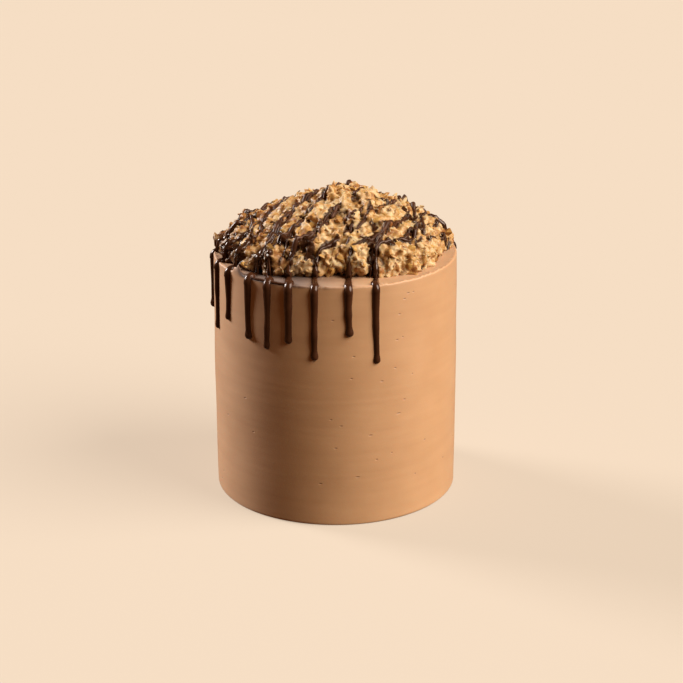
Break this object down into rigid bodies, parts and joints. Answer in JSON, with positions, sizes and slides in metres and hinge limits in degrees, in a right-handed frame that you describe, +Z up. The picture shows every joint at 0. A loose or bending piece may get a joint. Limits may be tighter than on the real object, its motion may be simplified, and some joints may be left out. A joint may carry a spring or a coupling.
{
  "type": "german chocolate cake",
  "caption": "Tall round cake in smooth chocolate buttercream, heaped with coconut pecan topping and drizzled with dark chocolate that runs down its side in drips.",
  "frame": {"origin": "middle of the cake's flat base", "axes": "+Z up through the heap, -Y towards the front that the picture shows, +X to the right"},
  "size_m": [0.1495, 0.1502, 0.1897],
  "materials": {
    "buttercream": "smooth satin chocolate buttercream, with dark chocolate drips",
    "coconut_pecan": "moist coconut pecan custard, with dark chocolate drizzle"
  },
  "bodies": {
    "root": {"frosted_cake": "buttercream", "coconut_pecan_topping": "coconut_pecan"}
  },
  "joints": []
}
